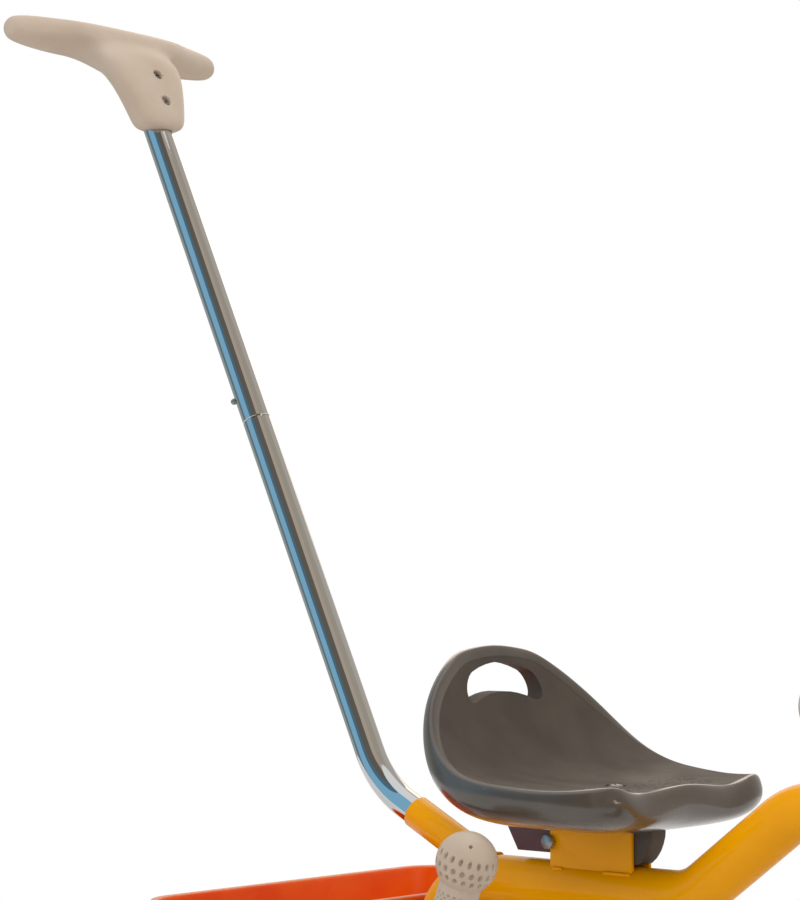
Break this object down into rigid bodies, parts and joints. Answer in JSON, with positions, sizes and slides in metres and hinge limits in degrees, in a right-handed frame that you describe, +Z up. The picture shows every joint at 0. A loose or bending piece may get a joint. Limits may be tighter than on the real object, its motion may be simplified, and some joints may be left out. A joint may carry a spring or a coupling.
{
  "type": "child's tricycle",
  "caption": "Sit-on pedal tricycle with a steel tube frame, push handle, bucket seat, tipping rear tub, hand brake and pedals on the front wheel.",
  "frame": {"origin": "centre of the tricycle's length and width, on the floor that its three wheels stand on", "axes": "+X forward, the way the rider faces; +Y to the rider's left; +Z up"},
  "size_m": [1.0664, 0.4806, 0.9441],
  "materials": {
    "yellow_enamel": "glossy yellow-orange stove enamel",
    "chrome_plate": "bright chrome plate",
    "zinc_plate": "zinc plate",
    "cream_plastic": "satin moulded plastic",
    "seat_plastic": "dark moulded plastic, glossy on the rim and fine-grained in the pan",
    "maroon_plastic": "dark moulded plastic",
    "orange_plastic": "orange-red moulded plastic",
    "tyre_rubber": "matt black moulded rubber"
  },
  "bodies": {
    "frame": {"backbone_tube": "yellow_enamel", "head_tube": "yellow_enamel", "rear_axle_tube": "yellow_enamel", "handle_socket": "yellow_enamel", "seat_plate_left": "yellow_enamel", "seat_plate_right": "yellow_enamel", "seat_clamp_bolt": "zinc_plate", "seat_clamp_nut": "zinc_plate", "bucket_bracket_left": "yellow_enamel", "bucket_bracket_right": "yellow_enamel", "bucket_hinge_pin": "zinc_plate", "brake_bracket": "yellow_enamel", "brake_pivot_bolt": "zinc_plate", "brake_pivot_nut": "zinc_plate", "brake_washer": "maroon_plastic", "rear_axle_rod": "zinc_plate", "axle_bush_left": "maroon_plastic", "axle_bush_right": "maroon_plastic", "axle_push_nut_left": "zinc_plate", "axle_push_nut_right": "zinc_plate", "push_tube_lower": "chrome_plate", "push_tube_upper": "chrome_plate", "push_grip": "cream_plastic", "grip_screw_upper": "zinc_plate", "grip_screw_lower": "zinc_plate", "head_bush_upper": "maroon_plastic", "head_bush_lower": "maroon_plastic"},
    "tipping_bucket": {"bucket": "orange_plastic"},
    "sliding_seat": {"seat_shell": "seat_plastic", "seat_rail": "maroon_plastic", "seat_tongue": "seat_plastic", "seat_screw": "zinc_plate"},
    "hand_brake": {"brake_lever": "zinc_plate", "brake_grip": "cream_plastic", "brake_shoe": "seat_plastic"},
    "snap_lock": {"snap_button": "zinc_plate", "snap_spring": "zinc_plate"},
    "left_wheel": {"rear_tyre_left": "tyre_rubber", "rear_wheel_left": "cream_plastic", "hub_cap_left": "orange_plastic"},
    "right_wheel": {"rear_tyre_right": "tyre_rubber", "rear_wheel_right": "cream_plastic", "hub_cap_right": "orange_plastic"},
    "steering": {"fork": "yellow_enamel", "fork_bush_left": "maroon_plastic", "fork_bush_right": "maroon_plastic", "handlebar_tube": "chrome_plate", "handlebar_clamp": "seat_plastic", "clamp_bolt": "zinc_plate", "clamp_nut": "zinc_plate", "handlebar_grip_left": "cream_plastic", "handlebar_grip_right": "cream_plastic"},
    "driven_wheel": {"front_tyre": "tyre_rubber", "front_wheel": "cream_plastic", "crank_axle": "zinc_plate", "pedal_cap_left": "orange_plastic", "pedal_cap_right": "orange_plastic"},
    "left_pedal": {"pedal_left": "maroon_plastic"},
    "right_pedal": {"pedal_right": "maroon_plastic"}
  },
  "joints": [
    {"name": "steering_turn", "type": "hinge", "parent": "frame", "child": "steering", "pos_m": [0.35313, 0, 0.331], "axis": [-0.2419, 0, 0.9703], "range_deg": [-35, 35]},
    {"name": "front_wheel_spin", "type": "hinge", "parent": "steering", "child": "driven_wheel", "pos_m": [0.40324, 0, 0.13], "axis": [0, 1, 0], "continuous": true},
    {"name": "left_pedal_spin", "type": "hinge", "parent": "driven_wheel", "child": "left_pedal", "pos_m": [0.47393, 0.114, 0.16296], "axis": [0, 1, 0], "continuous": true},
    {"name": "right_pedal_spin", "type": "hinge", "parent": "driven_wheel", "child": "right_pedal", "pos_m": [0.33255, -0.114, 0.09704], "axis": [0, 1, 0], "continuous": true},
    {"name": "left_wheel_spin", "type": "hinge", "parent": "frame", "child": "left_wheel", "pos_m": [-0.18676, 0.205, 0.1], "axis": [0, 1, 0], "continuous": true},
    {"name": "right_wheel_spin", "type": "hinge", "parent": "frame", "child": "right_wheel", "pos_m": [-0.18676, -0.205, 0.1], "axis": [0, 1, 0], "continuous": true},
    {"name": "bucket_tip", "type": "hinge", "parent": "frame", "child": "tipping_bucket", "pos_m": [-0.28476, 0, 0.1428], "axis": [0, -1, 0], "range_deg": [0, 75]},
    {"name": "brake_pull", "type": "hinge", "parent": "frame", "child": "hand_brake", "pos_m": [-0.07783, -0.145, 0.1], "axis": [0, -1, 0], "range_deg": [-12, 5]},
    {"name": "seat_slide", "type": "slide", "parent": "frame", "child": "sliding_seat", "axis": [1, 0, 0], "range_m": [-0.02, 0]},
    {"name": "snap_press", "type": "slide", "parent": "frame", "child": "snap_lock", "axis": [0.6708, 0.6691, 0.3199], "range_m": [0, 0.0052], "stiffness_N_per_m": 800, "springref_m": -0.002}
  ]
}
